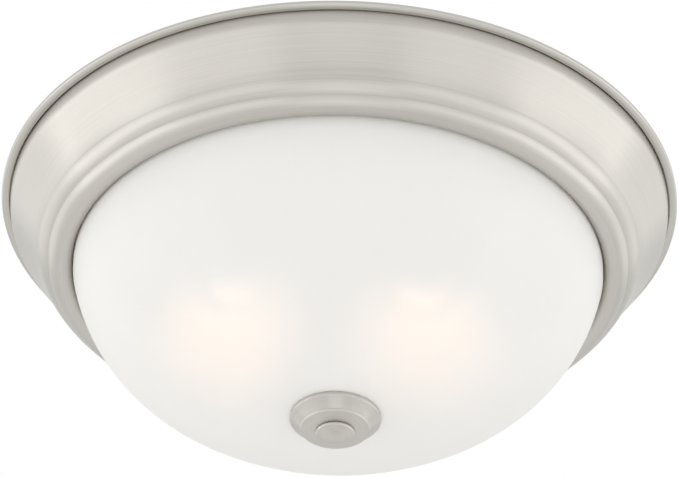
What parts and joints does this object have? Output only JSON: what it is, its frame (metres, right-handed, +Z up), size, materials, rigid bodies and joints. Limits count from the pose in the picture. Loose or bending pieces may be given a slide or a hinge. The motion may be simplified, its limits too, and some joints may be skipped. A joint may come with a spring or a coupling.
{
  "type": "flush mount ceiling light",
  "caption": "Round flush mount ceiling light: brushed nickel pan with turned grooves, frosted glass bowl held by a stepped cap and knob, lamps and sockets inside.",
  "frame": {"origin": "centre of the ceiling plane, at the middle of the mounting strap's upper face", "axes": "+Z up into the ceiling along the light's axis; the lamps lie along Y with their bases towards -Y, one on each side of the YZ plane"},
  "size_m": [0.3302, 0.3302, 0.1383],
  "materials": {
    "brushed_nickel": "satin nickel plate, brushed round the circumference",
    "galvanized_steel": "zinc plated, dull",
    "frosted_glass": "white frosted blown glass, satin outside",
    "lamp_glass": "soft white coated envelope, lit",
    "clear_glass": "clear pressed glass",
    "lamp_cap_metal": "drawn aluminium screw cap",
    "black_glass": "black insulating glass",
    "solder": "tinned",
    "tungsten": "drawn wire",
    "brass": "drawn brass",
    "porcelain": "white glazed porcelain",
    "rubber": "white silicone rubber",
    "black_insulation": "black lead insulation",
    "white_insulation": "white lead insulation",
    "orange_plastic": "moulded connector shell",
    "nylon": "black nylon bushing",
    "copper": "bare copper wire",
    "green_screw": "green ground screw",
    "glass_fibre": "yellowish glass fibre mat"
  },
  "bodies": {
    "pan_group": {"pan": "brushed_nickel", "mounting_bar": "galvanized_steel", "mounting_studs": "galvanized_steel", "stud_locknuts": "galvanized_steel", "cap_nuts": "brushed_nickel", "center_rod": "galvanized_steel", "rod_nut_upper": "galvanized_steel", "rod_lock_washer": "galvanized_steel", "rod_nut_lower": "galvanized_steel", "bracket_rivets": "galvanized_steel", "socket_screws": "galvanized_steel", "wire_bushings": "nylon", "lead_wires_black": "black_insulation", "lead_wires_white": "white_insulation", "wire_nut_black": "orange_plastic", "wire_nut_white": "orange_plastic", "ground_screws": "green_screw", "ground_wire": "copper", "insulation_pad": "glass_fibre", "socket_body_left": "porcelain", "socket_shell_left": "brass", "socket_contact_left": "brass", "socket_bracket_left": "galvanized_steel", "socket_body_right": "porcelain", "socket_shell_right": "brass", "socket_contact_right": "brass", "socket_bracket_right": "galvanized_steel"},
    "shade": {"glass_shade": "frosted_glass", "shade_grommet": "rubber"},
    "finial_cap": {"finial_cap": "brushed_nickel"},
    "finial_knob": {"finial_knob": "brushed_nickel"},
    "lamp_tip_left": {"bulb_contact_left": "solder"},
    "lamp_left": {"bulb_glass_left": "lamp_glass", "bulb_cap_left": "lamp_cap_metal", "bulb_insulator_left": "black_glass", "bulb_stem_left": "clear_glass", "bulb_filament_left": "tungsten"},
    "lamp_tip_right": {"bulb_contact_right": "solder"},
    "lamp_right": {"bulb_glass_right": "lamp_glass", "bulb_cap_right": "lamp_cap_metal", "bulb_insulator_right": "black_glass", "bulb_stem_right": "clear_glass", "bulb_filament_right": "tungsten"}
  },
  "joints": [
    {"name": "shade_drop", "type": "slide", "parent": "pan_group", "child": "shade", "axis": [0, 0, -1], "range_m": [0, 0.11]},
    {"name": "finial_drop", "type": "slide", "parent": "shade", "child": "finial_cap", "axis": [0, 0, -1], "range_m": [0, 0.0071]},
    {"name": "finial_turn", "type": "hinge", "parent": "finial_cap", "child": "finial_knob", "pos_m": [0, 0, -0.1342], "axis": [0, 0, -1], "range_deg": [0, 2700]},
    {"name": "lamp_out_left", "type": "slide", "parent": "pan_group", "child": "lamp_tip_left", "axis": [0, 1, 0], "range_m": [0, 0.0218]},
    {"name": "lamp_turn_left", "type": "hinge", "parent": "lamp_tip_left", "child": "lamp_left", "pos_m": [-0.0517, -0.045, -0.069], "axis": [0, 1, 0], "range_deg": [0, 2160]},
    {"name": "lamp_out_right", "type": "slide", "parent": "pan_group", "child": "lamp_tip_right", "axis": [0, 1, 0], "range_m": [0, 0.0218]},
    {"name": "lamp_turn_right", "type": "hinge", "parent": "lamp_tip_right", "child": "lamp_right", "pos_m": [0.0423, -0.045, -0.069], "axis": [0, 1, 0], "range_deg": [0, 2160]}
  ],
  "couplings": [
    {"joint": "finial_drop", "follows": "finial_turn", "m_per_rad": 0.00014961},
    {"joint": "lamp_out_left", "follows": "lamp_turn_left", "m_per_rad": 0.00057757},
    {"joint": "lamp_out_right", "follows": "lamp_turn_right", "m_per_rad": 0.00057757}
  ]
}
